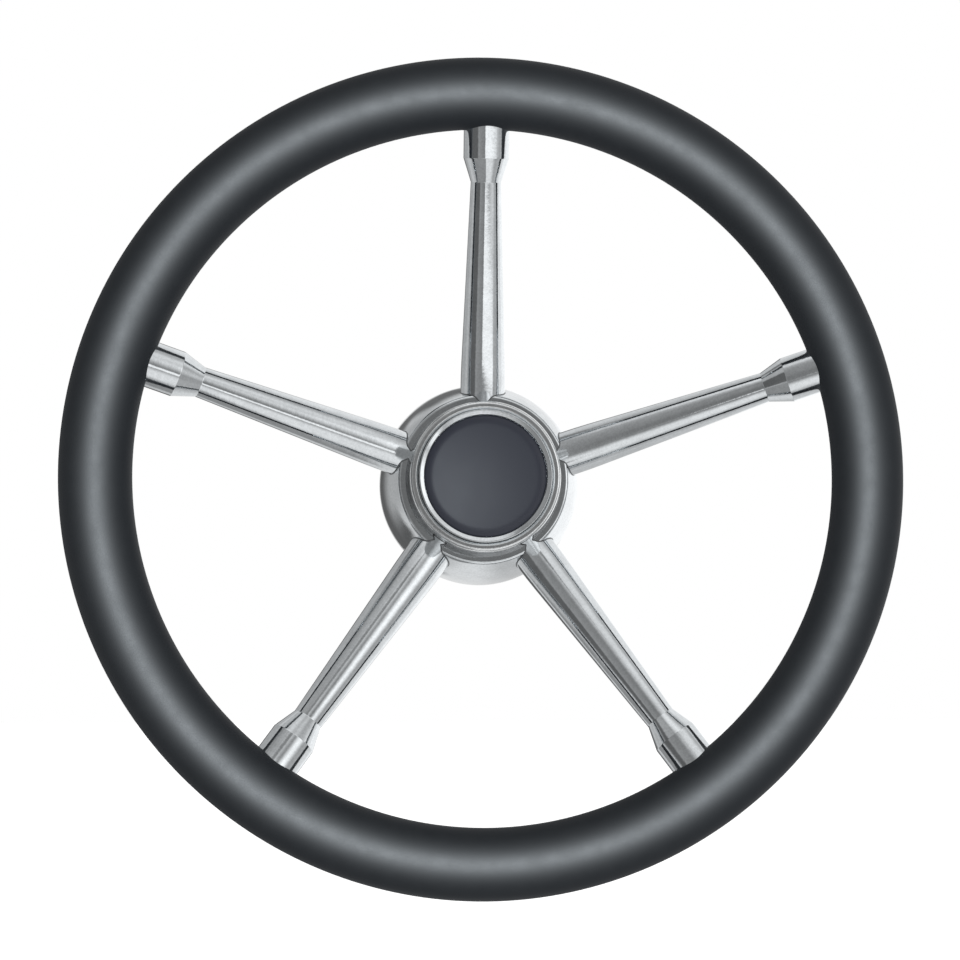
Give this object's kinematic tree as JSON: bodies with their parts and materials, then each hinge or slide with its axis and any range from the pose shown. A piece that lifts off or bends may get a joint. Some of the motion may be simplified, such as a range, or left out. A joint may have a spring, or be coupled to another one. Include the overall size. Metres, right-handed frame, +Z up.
{
  "type": "boat steering wheel",
  "caption": "Dished boat steering wheel: black foam rim, swaged stainless spokes on a flared hub with a plain snap-in centre cap over a tapered shaft bore.",
  "frame": {"origin": "on the shaft's axis, at the mouth of the taper bore, which is the rear face of the hub", "axes": "-Y towards the driver, +Y along the shaft away from the driver, +Z up through the top spoke, +X to the driver's right"},
  "size_m": [0.343, 0.0811, 0.343],
  "materials": {
    "foam": "satin integral-skin polyurethane foam, black",
    "polished_stainless": "mirror-polished stainless steel",
    "plain_steel": "turned or rolled stainless steel, not polished",
    "cap_plastic": "satin moulded plastic, dark slate grey",
    "seal_rubber": "plain rubber"
  },
  "bodies": {
    "root": {"rim_grip": "foam", "rim_core_ring": "plain_steel", "spoke_top": "polished_stainless", "spoke_upper_right": "polished_stainless", "spoke_lower_right": "polished_stainless", "spoke_lower_left": "polished_stainless", "spoke_upper_left": "polished_stainless", "hub_shell": "polished_stainless", "hub_bezel": "polished_stainless", "hub_boss": "plain_steel", "hub_back_plate": "plain_steel", "cap_trim_ring": "polished_stainless", "cap_o_ring": "seal_rubber", "centre_cap": "cap_plastic"}
  },
  "joints": []
}
